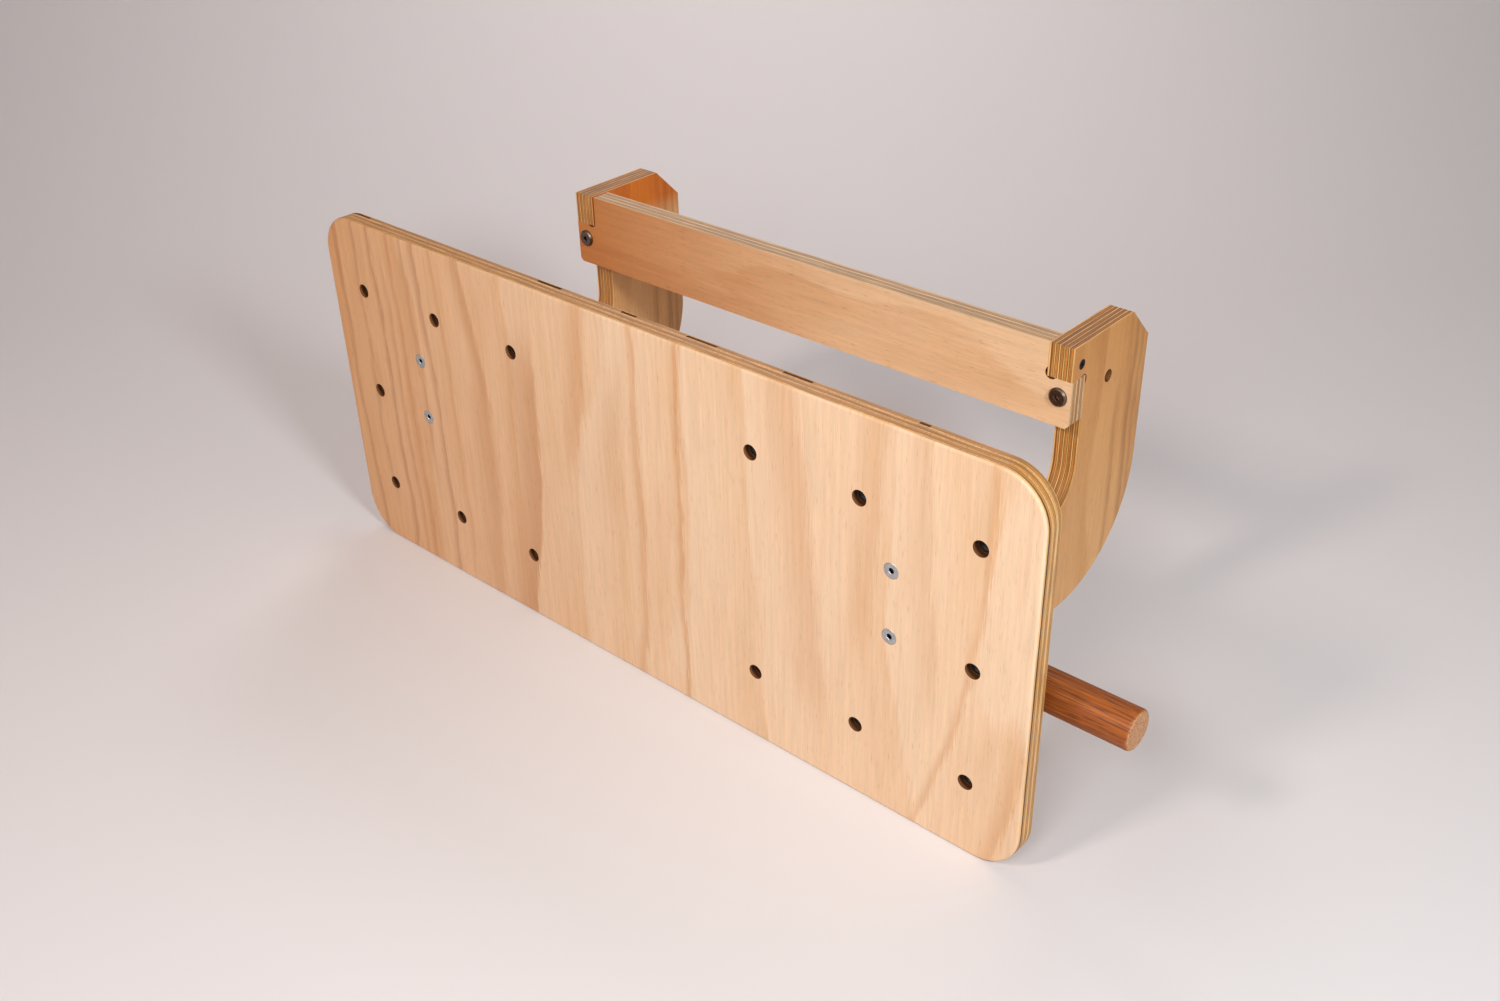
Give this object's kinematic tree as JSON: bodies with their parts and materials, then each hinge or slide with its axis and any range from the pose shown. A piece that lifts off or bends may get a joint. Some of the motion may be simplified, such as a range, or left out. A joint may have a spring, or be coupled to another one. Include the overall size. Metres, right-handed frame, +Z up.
{
  "type": "doorway training board mount",
  "caption": "Plywood doorway mount for a climbing training board: a front board with bolt holes on hooked brackets, a rear crossbar that rests on the door trim, and a round bar.",
  "frame": {"origin": "centre of the crossbar's underside, which rests on the door trim behind the wall", "axes": "+X to the right seen from the front of the board, +Y from the board back through the wall, +Z up"},
  "size_m": [0.82, 0.307, 0.315],
  "materials": {
    "board_plywood": "satin lacquered pine plywood",
    "bracket_plywood": "satin lacquered pine plywood with striped edges",
    "crossbar_plywood": "satin lacquered birch-like plywood",
    "bar_hardwood": "oiled hardwood",
    "zinc_steel": "zinc plated",
    "bronzed_steel": "dark bronze plated",
    "black_steel": "black phosphated"
  },
  "bodies": {
    "root": {"board": "board_plywood", "left_bracket": "bracket_plywood", "right_bracket": "bracket_plywood", "crossbar": "crossbar_plywood", "bar": "bar_hardwood", "board_bolt_left_lower": "zinc_steel", "board_bolt_left_upper": "zinc_steel", "board_bolt_right_lower": "zinc_steel", "board_bolt_right_upper": "zinc_steel", "board_nut_left_lower": "zinc_steel", "board_nut_left_upper": "zinc_steel", "board_nut_right_lower": "zinc_steel", "board_nut_right_upper": "zinc_steel", "crossbar_bolt_left": "bronzed_steel", "crossbar_bolt_right": "bronzed_steel", "crossbar_nut_left": "zinc_steel", "crossbar_nut_right": "zinc_steel", "end_screw_left": "black_steel", "end_screw_right": "black_steel", "bar_screw_left": "black_steel", "bar_screw_right": "black_steel", "tee_nut_left_inner_bottom": "zinc_steel", "tee_nut_left_inner_top": "zinc_steel", "tee_nut_left_middle_bottom": "zinc_steel", "tee_nut_left_middle_top": "zinc_steel", "tee_nut_left_outer_bottom": "zinc_steel", "tee_nut_left_outer_top": "zinc_steel", "tee_nut_right_inner_bottom": "zinc_steel", "tee_nut_right_inner_top": "zinc_steel", "tee_nut_right_middle_bottom": "zinc_steel", "tee_nut_right_middle_top": "zinc_steel", "tee_nut_right_outer_bottom": "zinc_steel", "tee_nut_right_outer_top": "zinc_steel", "tee_nut_left_outer_middle": "zinc_steel", "tee_nut_right_outer_middle": "zinc_steel"}
  },
  "joints": []
}
